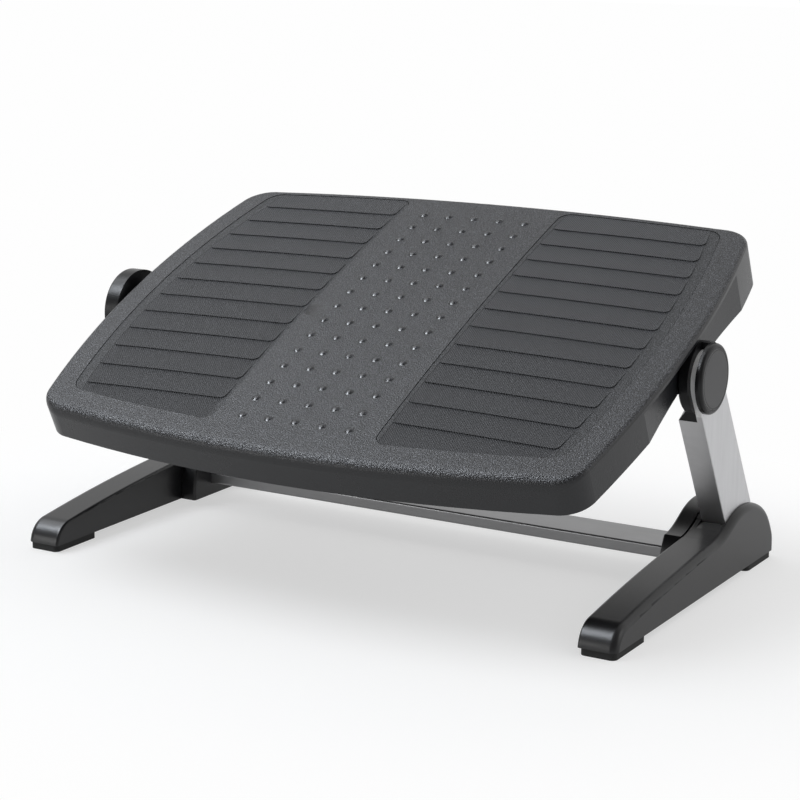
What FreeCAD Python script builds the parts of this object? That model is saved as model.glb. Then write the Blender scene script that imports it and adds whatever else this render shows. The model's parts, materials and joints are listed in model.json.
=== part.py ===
"""Tilting under desk footrest: a deck on two arms, two feet and a crossbar.

The origin is on the floor under the middle of the footrest. +X is to its right,
-Y is to the user's toes at the low front edge and +Z is up. All lengths are in mm.
"""
import math
import os

import FreeCAD
import Part

V = FreeCAD.Vector
X_AXIS = V(1, 0, 0)
Y_AXIS = V(0, 1, 0)
Z_AXIS = V(0, 0, 1)

# Deck outline and crowned top
deck_half_width = 227.0
deck_front = 141.5
deck_rear = 183.0
deck_widest_at = 26.0
deck_side_radius = 720.0
deck_front_radius = 1123.0
deck_rear_radius = 6000.0
deck_corner_radius = 23.0
deck_arch_radius = 2490.0
deck_crown_radius = 5420.0
deck_front_roll = 9.0
deck_side_roll = 3.0
deck_rear_roll = 4.5

# Deck skirt, plate and ribs
plate_thickness = 4.0
skirt_thickness = 3.0
rim_step_in = 5.0
rim_step_down = 3.5
skirt_front_depth = 26.0
skirt_middle_depth = 30.0
skirt_rear_depth = 36.5
rib_thickness = 2.0
rib_raise = 14.0
long_rib_count = 5
long_rib_pitch = 68.0
cross_rib_count = 5
cross_rib_pitch = 55.0
cross_rib_first = -84.0

# Side recess of the deck round each pivot
recess_depth = 8.0
recess_half_length = 84.0
recess_middle_y = 42.5
recess_lip = 5.0
side_gap = 1.7

# Bumps of the middle band
bump_columns = 5
bump_rows = 15
bump_pitch_x = 21.3
bump_pitch_y = 18.85
bump_last_y = 155.5
bump_radius = 3.3
bump_height = 1.2
bump_root = 1.0

# Grip pads with their stepped strips
pad_inner_x = 64.0
pad_side_margin = 20.0
pad_front_margin = 22.5
pad_rear_margin = 6.5
pad_recess = 1.6
pad_gap = 0.35
pad_under_gap = 0.3
pad_sink = 0.3
pad_outer_corner = 13.0
pad_inner_corner = 9.0
strip_count = 12
strip_pitch = 22.35
strip_last_y = 151.5
strip_height = 0.8
strip_side_margin = 8.5
strip_inner_margin = 3.0
strip_rear_margin = 4.0
strip_step_gap = 0.6
strip_corner = 4.0
strip_root = 0.6

# Pivot and tilt
pivot_from_apex = 37.4
pivot_below_top = 36.0
rest_tilt = 24.0

# Arms
arm_lean = 29.5
arm_head_radius = 19.7
arm_end_width = 42.2
arm_length = 148.5
arm_seat_y = 93.3
arm_seat_height = 24.0
arm_thickness = 18.0
lug_thickness = 4.5
arm_wall = 2.6
arm_cut = 22.5
arm_edge_round = 1.0

# Arm heads
drum_length = 7.1
drum_radius = 25.0
drum_chamfer = 1.2
shroud_from = 4.0
shroud_to = 68.0
shroud_gap = 0.3
flare_start = 14.0
tail_length = 24.0
tail_gap = 0.25
tail_screw_from_cut = 14.0

# Pivot bolts and their stack
bolt_radius = 4.0
bolt_fit = 0.08
bolt_reach = 19.0
bolt_head_width = 13.0
bolt_head_height = 2.4
friction_washer_thickness = 1.2
friction_washer_radius = 14.0
steel_washer_thickness = 1.2
steel_washer_radius = 10.0
stack_gap = 0.15

# Left hand knob and right pivot cap
knob_radius = 31.0
knob_thickness = 12.5
knob_round = 1.6
knob_cap_radius = 25.5
knob_collar_thickness = 6.5
knob_collar_radius = 21.0
cap_radius = 24.0
cap_thickness = 4.6
cap_round = 2.6
cap_disc_radius = 20.8
disc_thickness = 1.2
disc_gap = 0.2
knob_back_gap = 0.4

# Deck brackets
bracket_boss_radius = 13.0
bracket_boss_length = 20.0
bracket_web_half = 12.0
bracket_flange_drop = 14.0
bracket_flange_thickness = 4.0
bracket_flange_half = 30.0
bracket_flange_length = 50.0
bracket_wall_gap = 4.0
insert_radius = 6.0
insert_length = 12.0
notch_gap = 1.5
deck_boss_radius = 5.0
screw_radius = 1.9
screw_head_radius = 3.6
screw_head_height = 2.4
screw_length = 7.5
screw_gap = 0.1
screw_inset = 7.0

# Feet
cheek_thickness = 5.0
foot_width = 27.5
foot_front = -124.8
foot_rear = 138.4
foot_base = 5.0
foot_nose_height = 21.5
foot_beam_front_height = 24.0
foot_beam_rear_height = 36.8
foot_beam_rear_y = 34.0
hub_height = 50.3
hub_top_y = 83.0
foot_outer_round = 5.0
foot_inner_round = 2.0
foot_wall = 3.0
foot_pocket_front = -70.0
foot_pocket_rear = 30.0
foot_rib_count = 4
saddle_height = 44.0
saddle_start = 34.0
arm_seat_gap = 0.25
arm_floor = 8.0

# Hub covers and the screws through the arm ends
cover_depth = 13.2
cover_front = 26.0
cover_rise = 1.6
cover_gap = 0.2
hub_screw_radius = 2.5
hub_screw_head_radius = 4.6
hub_screw_head_height = 3.0
hub_screw_front = (-9.0, 18.0)
hub_screw_rear = (11.0, 10.0)
hub_screw_bite = 2.5
plug_length = 44.0
plug_gap = 0.2

# Crossbar
bar_depth = 37.3
bar_height = 9.0
bar_base = 14.2
bar_y = 66.4
bar_wall = 1.5
bar_corner = 1.6
bar_insertion = 11.0
bar_gap = 0.2
bar_plug_length = 26.0
bar_screw_spread = 18.0
bar_screw_radius = 2.0
bar_screw_head_radius = 3.8
bar_screw_head_height = 2.2

# Rubber pads under the feet
rubber_height = 5.0
rubber_front_length = 46.0
rubber_rear_length = 44.0
rubber_rear_start = 92.0
rubber_inset = 1.2
rubber_stud_radius = 4.0
rubber_stud_height = 5.0
rubber_stud_gap = 0.1
rubber_round = 4.0

# Stack of positions along X, measured outwards from the deck
drum_inner_x = deck_half_width - recess_depth + side_gap
lug_inner_x = drum_inner_x + drum_length
arm_outer_x = lug_inner_x + lug_thickness
arm_inner_x = arm_outer_x - arm_thickness
foot_outer_x = arm_outer_x + cheek_thickness
foot_inner_x = foot_outer_x - foot_width
cover_inner_x = foot_inner_x - cover_depth
friction_outer_x = drum_inner_x - stack_gap
friction_inner_x = friction_outer_x - friction_washer_thickness
bracket_face_x = friction_inner_x - stack_gap
bolt_end_x = bracket_face_x - bolt_reach
steel_inner_x = arm_outer_x + stack_gap
steel_outer_x = steel_inner_x + steel_washer_thickness
head_inner_x = steel_outer_x + stack_gap
head_outer_x = head_inner_x + bolt_head_height
cap_inner_x = arm_outer_x + knob_back_gap

knob_outer_x = cap_inner_x + knob_collar_thickness + knob_thickness

# Shift that puts the origin under the middle of the whole footrest
shift_x = (knob_outer_x - foot_outer_x) / 2
shift_y = -1.28

# Directions of the leaning arms
lean_cos = math.cos(math.radians(arm_lean))
lean_sin = math.sin(math.radians(arm_lean))

# Place of the pivot, at the far end of the arm from its seat in the foot
pivot_y = arm_seat_y - arm_length * lean_sin
pivot_height = arm_seat_height + arm_length * lean_cos
far = 400.0


def box(x0, x1, y0, y1, z0, z1):
    """Box between two corners."""
    return Part.makeBox(x1 - x0, y1 - y0, z1 - z0, V(x0, y0, z0))


def rod(radius, x0, x1, y=0.0, z=0.0):
    """Round bar along X."""
    return Part.makeCylinder(radius, x1 - x0, V(x0, y, z), X_AXIS)


def post(radius, z0, z1, x, y):
    """Round bar along Z."""
    return Part.makeCylinder(radius, z1 - z0, V(x, y, z0), Z_AXIS)


def slab(points, x0, x1):
    """Straight sided outline in Y and Z, extruded along X."""
    corners = [V(x0, y, z) for y, z in points]
    face = Part.Face(Part.makePolygon(corners + corners[:1]))
    return face.extrude(V(x1 - x0, 0, 0))


def hexagon(width, x0, x1):
    """Hexagonal bar along X with the given width across its flats."""
    corner = width / 2 / math.cos(math.radians(30))
    angles = [math.radians(60 * step) for step in range(6)]
    return slab([(corner * math.cos(a), corner * math.sin(a)) for a in angles], x0, x1)


def fuse(first, *others):
    """Join solids into one with its seams removed."""
    return first.multiFuse(list(others)).removeSplitter()


def mirrored(shape):
    """The same piece on the other side of the footrest."""
    return shape.mirror(V(0, 0, 0), X_AXIS)


def edges_where(shape, test):
    """Edges whose middle point passes a test."""
    chosen = []
    for edge in shape.Edges:
        middle = edge.valueAt((edge.FirstParameter + edge.LastParameter) / 2)
        if test(edge, middle):
            chosen.append(edge)
    return chosen


def is_upright(edge):
    """Whether an edge runs straight along Z."""
    if len(edge.Vertexes) < 2:
        return False
    run = edge.Vertexes[1].Point - edge.Vertexes[0].Point
    return run.Length > 1e-6 and abs(run.z) / run.Length > 0.999


def runs_along_x(edge):
    """Whether an edge runs straight along X."""
    if len(edge.Vertexes) < 2:
        return False
    run = edge.Vertexes[1].Point - edge.Vertexes[0].Point
    return run.Length > 1e-6 and abs(run.x) / run.Length > 0.999


# Deck, drawn level with its apex at the origin and Y running to its rear

def arch_point(y, drop):
    """Point of the fore and aft arch at a distance below the top."""
    radius = deck_arch_radius - drop
    return V(0, y, math.sqrt(radius * radius - y * y) - deck_arch_radius)


def crown_turn(face):
    """Turn a fore and aft profile about the crown axis, over the whole width."""
    centre = V(0, 0, -deck_crown_radius)
    half = math.degrees(math.asin((deck_half_width + 15) / deck_crown_radius))
    start = face.copy()
    start.rotate(centre, Y_AXIS, -half)
    return start.revolve(centre, Y_AXIS, 2 * half)


def crown_band(top_drop, bottom, front=None, rear=None):
    """Solid under the crowned top, down to an arc through three (y, z) points."""
    front = -deck_front - 20 if front is None else front
    rear = deck_rear + 20 if rear is None else rear
    middle = (front + rear) / 2
    top = [arch_point(y, top_drop) for y in (rear, middle, front)]
    low = [V(0, y, z) for y, z in bottom]
    edges = [
        Part.Arc(*top).toShape(),
        Part.makeLine(top[2], low[0]),
        Part.Arc(*low).toShape(),
        Part.makeLine(low[2], top[0]),
    ]
    return crown_turn(Part.Face(Part.Wire(edges)))


def flat_bottom(z, front=None, rear=None):
    """Three points of a nearly straight bottom for a crown band."""
    front = -deck_front - 20 if front is None else front
    rear = deck_rear + 20 if rear is None else rear
    return [(front, z), ((front + rear) / 2, z + 0.5), (rear, z)]


def skirt_bottom(raised=0.0):
    """Three points of the skirt's lower edge at the middle of the deck."""
    middle = (deck_rear - deck_front) / 2
    depths = [(-deck_front, skirt_front_depth), (middle, skirt_middle_depth)]
    depths.append((deck_rear, skirt_rear_depth))
    points = [(y, arch_point(y, 0).z - depth + raised) for y, depth in depths]
    circle = Part.Circle(*[V(0, y, z) for y, z in points])
    centre = circle.Center
    radius = circle.Radius

    def height(y):
        return centre.z + math.sqrt(radius * radius - (y - centre.y) ** 2)

    ends = (-deck_front - 20, middle, deck_rear + 20)
    return [(y, height(y)) for y in ends]


def circle_cross(first, second, right_side):
    """Crossing of two circles, each (x, y, radius), to the right or left."""
    dx = second[0] - first[0]
    dy = second[1] - first[1]
    gap = math.hypot(dx, dy)
    along = (gap * gap + first[2] ** 2 - second[2] ** 2) / (2 * gap)
    across = math.sqrt(first[2] ** 2 - along ** 2)
    points = []
    for sign in (1, -1):
        x = first[0] + (along * dx - sign * across * dy) / gap
        y = first[1] + (along * dy + sign * across * dx) / gap
        points.append((x, y))
    points.sort()
    return points[1] if right_side else points[0]


def plan_circles(side_margin, front_margin, rear_margin):
    """Circles of the right side, front and rear edges, drawn in by margins."""
    side = (deck_half_width - deck_side_radius, deck_widest_at, deck_side_radius - side_margin)
    front = (0.0, deck_front_radius - deck_front, deck_front_radius - front_margin)
    rear = (0.0, deck_rear - deck_rear_radius, deck_rear_radius - rear_margin)
    return side, front, rear


def on_circle(circle, x=None, y=None):
    """Point of a circle near the deck's edge, at a given x or y."""
    if y is not None:
        return (circle[0] + math.sqrt(circle[2] ** 2 - (y - circle[1]) ** 2), y)
    reach = math.sqrt(circle[2] ** 2 - (x - circle[0]) ** 2)
    return (x, circle[1] - reach if circle[1] > 0 else circle[1] + reach)


def corner_between(side, other):
    """Corner of the right side with the front or rear circle."""
    crossing = [circle_cross(side, other, True), circle_cross(side, other, False)]
    target_y = -deck_front if other[1] > 0 else deck_rear
    crossing.sort(key=lambda p: math.hypot(p[0] - deck_half_width, p[1] - target_y))
    return crossing[0]


def upright_fillet(shape, radius, test):
    """Round the upright edges that pass a test."""
    chosen = edges_where(shape, lambda edge, middle: is_upright(edge) and test(middle))
    return shape.makeFillet(radius, chosen)


def deck_plan(margin=0.0, low=-120.0, high=60.0):
    """Upright prism of the deck's outline, drawn in by a margin."""
    side, front, rear = plan_circles(margin, margin, margin)
    front_corner = corner_between(side, front)
    rear_corner = corner_between(side, rear)
    middle_side = on_circle(side, y=deck_widest_at)

    def at(point, flip=1):
        return V(flip * point[0], point[1], low)

    edges = [
        Part.Arc(at(front_corner), at(middle_side), at(rear_corner)).toShape(),
        Part.Arc(at(rear_corner), at(on_circle(rear, x=0.0)), at(rear_corner, -1)).toShape(),
        Part.Arc(at(rear_corner, -1), at(middle_side, -1), at(front_corner, -1)).toShape(),
        Part.Arc(at(front_corner, -1), at(on_circle(front, x=0.0)), at(front_corner)).toShape(),
    ]
    prism = Part.Face(Part.Wire(edges)).extrude(V(0, 0, high - low))
    return upright_fillet(prism, deck_corner_radius - margin, lambda p: True)


def pad_plan(gap):
    """Upright prism of the right grip pad's outline, drawn in by a gap."""
    low = -60.0
    high = 40.0
    side, front, rear = plan_circles(
        pad_side_margin + gap, pad_front_margin + gap, pad_rear_margin + gap
    )
    inner = pad_inner_x + gap
    front_corner = corner_between(side, front)
    rear_corner = corner_between(side, rear)
    front_inner = on_circle(front, x=inner)
    rear_inner = on_circle(rear, x=inner)
    half_x = (inner + front_corner[0]) / 2

    def at(point):
        return V(point[0], point[1], low)

    edges = [
        Part.Arc(at(front_corner), at(on_circle(side, y=deck_widest_at)), at(rear_corner)).toShape(),
        Part.Arc(at(rear_corner), at(on_circle(rear, x=half_x)), at(rear_inner)).toShape(),
        Part.makeLine(at(rear_inner), at(front_inner)),
        Part.Arc(at(front_inner), at(on_circle(front, x=half_x)), at(front_corner)).toShape(),
    ]
    prism = Part.Face(Part.Wire(edges)).extrude(V(0, 0, high - low))
    split = pad_inner_x + pad_outer_corner * 2
    prism = upright_fillet(prism, pad_outer_corner, lambda p: p.x > split)
    return upright_fillet(prism, pad_inner_corner, lambda p: p.x < split)


def strip_wedge(rear_y, front_y):
    """Ramp of one strip over the full width, high at its front edge."""
    root = arch_point(rear_y, pad_sink)
    step = arch_point(front_y, pad_sink - strip_height)
    points = [
        root,
        step,
        arch_point(front_y, pad_sink + strip_root),
        arch_point(rear_y, pad_sink + strip_root),
    ]
    return crown_turn(Part.Face(Part.makePolygon(points + points[:1])))


def strip_plan(rear_y, front_y):
    """Upright prism of one strip's outline with rounded front corners."""
    low = -60.0
    side = plan_circles(pad_side_margin + strip_side_margin, 0.0, 0.0)[0]
    inner = pad_inner_x + strip_inner_margin
    points = [
        (inner, front_y),
        on_circle(side, y=front_y),
        on_circle(side, y=rear_y),
        (inner, rear_y),
    ]
    corners = [V(x, y, low) for x, y in points]
    prism = Part.Face(Part.makePolygon(corners + corners[:1])).extrude(V(0, 0, 100))
    edge_y = front_y + strip_corner / 2
    return upright_fillet(prism, strip_corner, lambda p: p.y < edge_y)


def grip_pad():
    """Right grip pad: a sheet in the deck's recess with stepped strips."""
    bottom = [arch_point(y, pad_recess - pad_under_gap) for y in (-deck_front, 0, deck_rear)]
    low = [(p.y, p.z) for p in bottom]
    sheet = crown_band(pad_sink, low, -deck_front, deck_rear).common(pad_plan(pad_gap))
    strips = []
    for number in range(strip_count):
        front_y = strip_last_y - strip_pitch * number
        rear_y = front_y + strip_pitch - strip_step_gap
        if number == 0:
            rear_y = deck_rear - pad_rear_margin - strip_rear_margin
        strips.append(strip_wedge(rear_y, front_y).common(strip_plan(rear_y, front_y)))
    return sheet.multiFuse(strips)


def bump_caps():
    """Low round bumps of the middle band, set on the crowned top."""
    sphere = (bump_radius ** 2 + bump_height ** 2) / (2 * bump_height)
    floor_angle = math.degrees(math.asin((sphere - bump_height - bump_root) / sphere))
    caps = []
    for row in range(bump_rows):
        y = bump_last_y - bump_pitch_y * row
        for column in range(bump_columns):
            x = (column - (bump_columns - 1) / 2) * bump_pitch_x
            sag = deck_crown_radius - math.sqrt(deck_crown_radius ** 2 - x * x)
            z = arch_point(y, 0).z - sag - sphere + bump_height
            slope = math.degrees(math.asin(y / deck_arch_radius))
            cap = Part.makeSphere(sphere, V(0, 0, 0), Z_AXIS, floor_angle, 90, 360)
            cap.rotate(V(0, 0, 0), X_AXIS, -slope)
            cap.translate(V(x, y, z))
            caps.append(cap)
    return caps


def side_recess():
    """Lens shaped cut in the right side of the skirt, under the deck's lip."""
    side = plan_circles(0.0, 0.0, 0.0)[0]
    front_y = recess_middle_y - recess_half_length
    rear_y = recess_middle_y + recess_half_length
    deepest = deck_half_width - recess_depth
    low = -120.0
    arc = Part.Arc(
        V(on_circle(side, y=front_y)[0], front_y, low),
        V(deepest, recess_middle_y, low),
        V(on_circle(side, y=rear_y)[0], rear_y, low),
    ).toShape()
    start = arc.Vertexes[0].Point
    end = arc.Vertexes[1].Point
    wide = deck_half_width + 30
    loop = [end, V(wide, end.y, low), V(wide, start.y, low), start]
    outline = Part.Wire([arc] + Part.makePolygon(loop).Edges)
    prism = Part.Face(outline).extrude(V(0, 0, 200))
    return prism.common(crown_band(recess_lip, flat_bottom(-110.0)))


def inner_scoop():
    """The side recess seen from inside, one skirt thickness further in."""
    shape = side_recess()
    shape.translate(V(-skirt_thickness, 0, 0))
    roomy = shape.copy()
    roomy.translate(V(0, 0, plate_thickness))
    return shape.fuse(roomy)


def bracket_screw_spots():
    """Places of the screws through the right bracket's flange, deck frame."""
    outer = bracket_face_x - bracket_wall_gap - screw_inset
    inner = outer - bracket_flange_length + 2 * screw_inset
    reach = bracket_flange_half - screw_inset
    spots = []
    for x in (inner, outer):
        for y in (pivot_from_apex - reach, pivot_from_apex + reach):
            spots.append((x, y))
    return spots


def flange_top_z():
    """Height of the bracket flange's top in the deck frame."""
    return -bracket_flange_drop


def rib_grid():
    """Stiffening ribs under the plate, clear of the brackets."""
    ribs = []
    low = -100.0
    high = 10.0
    for number in range(long_rib_count):
        x = (number - (long_rib_count - 1) / 2) * long_rib_pitch
        ribs.append(box(x - rib_thickness / 2, x + rib_thickness / 2, -far, far, low, high))
    for number in range(cross_rib_count):
        y = cross_rib_first + cross_rib_pitch * number
        ribs.append(box(-far, far, y - rib_thickness / 2, y + rib_thickness / 2, low, high))
    grid = ribs[0].multiFuse(ribs[1:])
    clear = 4.0
    x0 = bracket_face_x - bracket_wall_gap - bracket_flange_length - clear
    y0 = pivot_from_apex - bracket_flange_half - clear
    y1 = pivot_from_apex + bracket_flange_half + clear
    room = box(x0, deck_half_width + 20, y0, y1, low - 1, high + 1)
    return grid.cut(room.multiFuse([mirrored(room)]))


def deck_shell():
    """Moulded deck: crowned plate, skirt, ribs, screw bosses and bumps."""
    block = crown_band(0.0, skirt_bottom()).common(deck_plan())
    block = rolled_rim(block)
    recess = side_recess()
    block = block.cut(recess).cut(mirrored(recess))
    hollow = under_hollow()
    scoop = inner_scoop()
    hollow = hollow.cut(scoop).cut(mirrored(scoop))
    ribs = rib_grid().common(crown_band(0.0, skirt_bottom(rib_raise)))
    shell = block.cut(hollow.cut(ribs))
    bosses = []
    holes = []
    for x, y in bracket_screw_spots():
        for flip in (1, -1):
            bosses.append(post(deck_boss_radius, flange_top_z(), -plate_thickness, flip * x, y))
            holes.append(post(screw_radius + screw_gap, flange_top_z() - 1,
                              flange_top_z() + screw_length, flip * x, y))
    boss_room = crown_band(plate_thickness / 2, flat_bottom(-110.0))
    bosses = [boss.fuse(post(deck_boss_radius, -plate_thickness - 1, 0, *boss_xy(boss)))
              .common(boss_room) for boss in bosses]
    shell = shell.multiFuse(bosses)
    notch = rod(bracket_boss_radius + notch_gap, bracket_face_x - 6, deck_half_width + 5,
                pivot_from_apex, -pivot_below_top)
    shell = shell.multiFuse(bump_caps())
    cuts = holes + [notch, mirrored(notch)]
    pocket = pad_plan(0.0).cut(crown_band(pad_recess, flat_bottom(-110.0)))
    cuts += [pocket, mirrored(pocket)]
    for cutter in cuts:
        shell = shell.cut(cutter)
    return shell.removeSplitter()


def boss_xy(boss):
    """Middle of an upright boss in plan."""
    centre = boss.BoundBox.Center
    return centre.x, centre.y


def under_hollow():
    """Room under the plate, stepped in behind the rolled rim."""
    room = crown_band(plate_thickness, flat_bottom(-110.0))
    low_room = crown_band(plate_thickness + rim_step_down, flat_bottom(-110.0))
    low_room = low_room.common(deck_plan(skirt_thickness))
    room = room.common(deck_plan(skirt_thickness + rim_step_in))
    return room.fuse(low_room)


def roll_at(point):
    """Radius of the rolled rim at a point: large in front, small at the sides."""
    if abs(point.x) > deck_half_width - deck_corner_radius:
        return deck_side_roll
    return deck_front_roll if point.y < 0 else deck_rear_roll


def rolled_rim(block):
    """Round the rim of the crowned top with radii that change at the corners."""
    job = FreeCAD.newDocument("rim")
    source = job.addObject("Part::Feature", "block")
    source.Shape = block
    rim = job.addObject("Part::Fillet", "rolled")
    rim.Base = source
    rolls = []
    for number, edge in enumerate(block.Edges, 1):
        if is_top_edge(edge.valueAt((edge.FirstParameter + edge.LastParameter) / 2)):
            start = roll_at(edge.valueAt(edge.FirstParameter))
            end = roll_at(edge.valueAt(edge.LastParameter))
            radii = (start, end) if edge.Orientation == "Reversed" else (end, start)
            rolls.append((number,) + radii)
    rim.Edges = rolls
    job.recompute()
    right = rim.Shape.common(box(0, far, -far, far, -far, far))
    return right.fuse(mirrored(right)).removeSplitter()


def is_top_edge(middle):
    """Whether a point of the block lies on the rim of its crowned top."""
    if abs(middle.y) > deck_arch_radius or abs(middle.x) > deck_crown_radius:
        return False
    sag = deck_crown_radius - math.sqrt(deck_crown_radius ** 2 - middle.x ** 2)
    return abs(arch_point(middle.y, 0).z - sag - middle.z) < 0.3


def deck_place(shape):
    """Move a piece from the deck frame to its rest place on the pivot."""
    placed = shape.copy()
    placed.translate(V(0, -pivot_from_apex, pivot_below_top))
    placed.rotate(V(0, 0, 0), X_AXIS, rest_tilt)
    placed.translate(V(0, pivot_y, pivot_height))
    return placed


def pivot_bracket():
    """Right bracket: flange under the deck, web and bored pivot boss."""
    y = pivot_from_apex
    z = -pivot_below_top
    outer = bracket_face_x - bracket_wall_gap
    inner = outer - bracket_flange_length
    flange = box(inner, outer, y - bracket_flange_half, y + bracket_flange_half,
                 flange_top_z() - bracket_flange_thickness, flange_top_z())
    boss_inner = bracket_face_x - bracket_boss_length
    boss = rod(bracket_boss_radius, boss_inner, bracket_face_x, y, z)
    web = box(boss_inner, outer, y - bracket_web_half, y + bracket_web_half,
              z, flange_top_z() - bracket_flange_thickness / 2)
    bracket = fuse(flange, boss, web)
    bracket = bracket.cut(rod(bolt_radius + bolt_fit, boss_inner - 1, bracket_face_x + 1, y, z))
    bracket = bracket.cut(hex_at(insert_radius * 2 + 2 * bolt_fit, boss_inner - 1,
                                 boss_inner + insert_length, y, z))
    for x, spot_y in bracket_screw_spots():
        bracket = bracket.cut(post(screw_radius + screw_gap, flange_top_z() - 20,
                                   flange_top_z() + 1, x, spot_y))
    return bracket


def hex_at(width, x0, x1, y, z):
    """Hexagonal bar along X about a given axis."""
    shape = hexagon(width, x0, x1)
    shape.translate(V(0, y, z))
    return shape


def pivot_nut():
    """Hexagonal nut held in the right bracket's boss."""
    y = pivot_from_apex
    z = -pivot_below_top
    inner = bracket_face_x - bracket_boss_length
    nut = hex_at(insert_radius * 2, inner + 0.5, inner + insert_length, y, z)
    return nut.cut(rod(bolt_radius + bolt_fit, inner, inner + insert_length + 1, y, z))


def bracket_screws():
    """Screws that hold both brackets up to the deck's bosses."""
    under = flange_top_z() - bracket_flange_thickness
    screws = []
    for x, y in bracket_screw_spots():
        shank = post(screw_radius, under - 0.5, flange_top_z() + screw_length - 1, x, y)
        head = post(screw_head_radius, under - screw_head_height, under, x, y)
        head = head.makeChamfer(0.5, edges_where(head, lambda e, p: p.z < under - 1.5
                                                 and len(e.Vertexes) == 1))
        drive = post(1.4, under - screw_head_height - 1, under - screw_head_height + 1.2, x, y)
        screws.append(head.fuse(shank).removeSplitter().cut(drive))
    right = Part.makeCompound(screws)
    return Part.makeCompound([mirrored(right), right])


def friction_washer():
    """Washer between the right bracket's face and the arm head's drum."""
    y = pivot_from_apex
    z = -pivot_below_top
    disc = rod(friction_washer_radius, friction_inner_x, friction_outer_x, y, z)
    return disc.cut(rod(bolt_radius + bolt_fit, friction_inner_x - 1, friction_outer_x + 1, y, z))


# Pieces about the pivot, drawn with the pivot at the origin

def pivot_place(shape):
    """Move a piece drawn about the pivot to its place."""
    placed = shape.copy()
    placed.translate(V(0, pivot_y, pivot_height))
    return placed


def pivot_bolt(extra):
    """Pivot bolt with its hexagonal head outside the arm, longer by an extra length."""
    shank = rod(bolt_radius, bolt_end_x, head_inner_x + extra + bolt_head_height / 2)
    head = hexagon(bolt_head_width, head_inner_x + extra, head_outer_x + extra)
    return head.fuse(shank).removeSplitter()


def knob_collar():
    """Spacer ring between the left arm and its hand knob."""
    start = arm_outer_x + stack_gap
    end = start + knob_collar_thickness - stack_gap
    ring = rod(knob_collar_radius, start, end)
    return ring.cut(rod(bolt_radius + bolt_fit, start - 1, end + 1))


def outward(shape):
    """Move a piece out by the thickness of the knob's collar."""
    moved = shape.copy()
    moved.translate(V(knob_collar_thickness, 0, 0))
    return moved


def steel_washer():
    """Steel washer under the bolt head."""
    disc = rod(steel_washer_radius, steel_inner_x, steel_outer_x)
    return disc.cut(rod(bolt_radius + bolt_fit, steel_inner_x - 1, steel_outer_x + 1))


def rounded_disc(radius, thickness, round_radius, start):
    """Disc along X with its outer rim rounded."""
    disc = rod(radius, start, start + thickness)
    rim = edges_where(disc, lambda edge, p: len(edge.Vertexes) == 1
                      and p.x > start + thickness - 0.1)
    return disc.makeFillet(round_radius, rim)


def hub_socket(start, depth):
    """Room inside a cap or knob for the washer and the bolt head."""
    washer_room = rod(steel_washer_radius + 0.5, start - 1, steel_outer_x + 0.3)
    head_room = hexagon(bolt_head_width + 0.2, start, head_outer_x + depth)
    return washer_room.fuse(head_room)


def pivot_cap():
    """Right pivot cap, a round edged ring disc pressed on the bolt head."""
    body = rounded_disc(cap_radius, cap_thickness, cap_round, cap_inner_x)
    seat = cap_inner_x + cap_thickness - disc_thickness
    body = body.cut(rod(cap_disc_radius + disc_gap, seat, seat + 5))
    return body.cut(hub_socket(cap_inner_x, 3.0))


def cap_disc():
    """Face disc set in the right cap."""
    seat = cap_inner_x + cap_thickness - disc_thickness
    return rod(cap_disc_radius, seat + 0.1, seat + disc_thickness)


def hand_knob():
    """Left hand knob, drawn on the right side and mirrored when placed."""
    body = rounded_disc(knob_radius, knob_thickness, knob_round, cap_inner_x)
    seat = cap_inner_x + knob_thickness - disc_thickness
    body = body.cut(rod(knob_cap_radius + disc_gap, seat, seat + 5))
    body = body.cut(hub_socket(cap_inner_x, 0.2))
    return body


def knob_disc():
    """Face disc set in the hand knob."""
    seat = cap_inner_x + knob_thickness - disc_thickness
    return rod(knob_cap_radius, seat + 0.1, seat + disc_thickness)


# Arms, drawn hanging straight down from the pivot and then leaned

def lean_place(shape):
    """Lean a hanging piece forward and move it to the pivot."""
    placed = shape.copy()
    placed.rotate(V(0, 0, 0), X_AXIS, arm_lean)
    return pivot_place(placed)


def arm_blade(x0, x1, inset=0.0, top=None, bottom=None):
    """Arm outline between two X values, with a round head and straight sides."""
    half = arm_end_width / 2 - inset
    radius = arm_head_radius - inset
    end = -arm_length if bottom is None else bottom
    sides = slab([(-radius, 0.0), (radius, 0.0), (half, -arm_length), (-half, -arm_length)], x0, x1)
    blade = sides.fuse(rod(radius, x0, x1)).removeSplitter()
    high = far if top is None else top
    return blade.common(box(x0 - 1, x1 + 1, -far, far, end, high))


def arm():
    """Right arm: a box section with one wall carried up as the pivot lug."""
    body = arm_blade(arm_inner_x, arm_outer_x)
    body = body.cut(box(arm_inner_x - 1, lug_inner_x, -far, far, -arm_cut, far))
    cavity = arm_blade(arm_inner_x + arm_wall, lug_inner_x, arm_wall)
    body = body.cut(cavity)
    body = body.cut(rod(bolt_radius + bolt_fit, arm_inner_x - 1, arm_outer_x + 1))
    for z in tail_screw_levels():
        body = body.cut(rod(screw_radius + screw_gap, arm_inner_x - 1, arm_inner_x + 5, 0, z))
    for y, z in hub_screw_spots():
        body = body.cut(rod(hub_screw_radius + screw_gap, arm_inner_x - 1, arm_outer_x + 1, y, z))
    rim = edges_where(body, lambda edge, p: abs(p.x - arm_outer_x) < 1e-6
                      and not is_hole_edge(edge) and p.z > -arm_length + 1)
    return body.makeFillet(arm_edge_round, rim)


def is_hole_edge(edge):
    """Whether an edge is the rim of a drilled hole."""
    return len(edge.Vertexes) == 1 and edge.Length < 2 * math.pi * 8


def tail_screw_levels():
    """Heights of the screws through the arm into the head's tail."""
    return [-arm_cut - tail_screw_from_cut]


def hub_screw_spots():
    """Places of the screws through the arm's lower end."""
    return [(y, -arm_length + rise) for y, rise in (hub_screw_front, hub_screw_rear)]


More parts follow.
